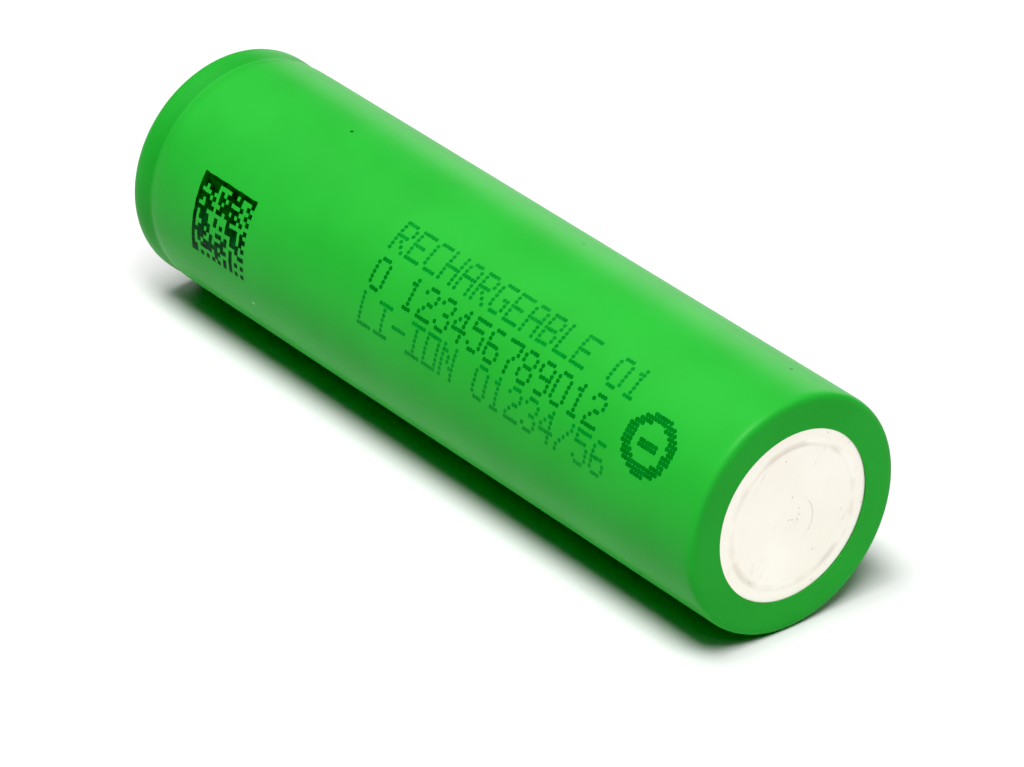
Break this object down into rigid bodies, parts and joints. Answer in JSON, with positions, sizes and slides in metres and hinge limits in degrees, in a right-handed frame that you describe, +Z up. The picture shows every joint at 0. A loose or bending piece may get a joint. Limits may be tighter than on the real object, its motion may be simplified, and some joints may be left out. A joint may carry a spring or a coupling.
{
  "type": "cylindrical battery cell",
  "caption": "Rechargeable cylindrical lithium-ion cell in a green heat-shrink sleeve, with a flat negative base and a flat crimped positive terminal, lying on its side.",
  "frame": {"origin": "middle of the cell's axis, halfway between the two terminals' ends", "axes": "+X along the axis towards the negative end, +Z up with the cell lying on its side, printed side facing -Y and up"},
  "size_m": [0.0652, 0.0182, 0.0182],
  "materials": {
    "sleeve_film": "glossy green heat-shrunk film",
    "washer_fibre": "matt white fibre sheet",
    "nickel_plated_steel": "satin nickel plate",
    "gasket_plastic": "translucent natural polypropylene",
    "aluminium_sheet": "bright rolled sheet",
    "ring_plastic": "cream moulded plastic",
    "tab_tape": "amber polyimide tape",
    "insulator_sheet": "matt white glass-fibre sheet",
    "closing_tape": "clear yellow adhesive tape",
    "separator_film": "white microporous film",
    "copper_foil": "bright copper foil",
    "graphite_coating": "matt graphite",
    "oxide_coating": "matt black metal oxide",
    "nickel_strip": "annealed nickel strip",
    "stainless_tube": "rolled stainless steel"
  },
  "bodies": {
    "root": {"shrink_sleeve": "sleeve_film", "insulating_washer": "washer_fibre", "can": "nickel_plated_steel", "crimp_gasket": "gasket_plastic", "terminal_cap": "nickel_plated_steel", "rupture_disc": "aluminium_sheet", "interrupt_ring": "ring_plastic", "support_disc": "aluminium_sheet", "contact_disc": "aluminium_sheet", "positive_tab": "aluminium_sheet", "positive_tab_tape": "tab_tape", "upper_insulator": "insulator_sheet", "winding_tape": "closing_tape", "separator_inner": "separator_film", "anode_foil": "copper_foil", "anode_coating": "graphite_coating", "separator_outer": "separator_film", "cathode_foil": "aluminium_sheet", "cathode_coating": "oxide_coating", "centre_pin": "stainless_tube", "negative_tab_core": "nickel_strip", "negative_tab_rim": "nickel_strip", "lower_insulator": "insulator_sheet"}
  },
  "joints": []
}
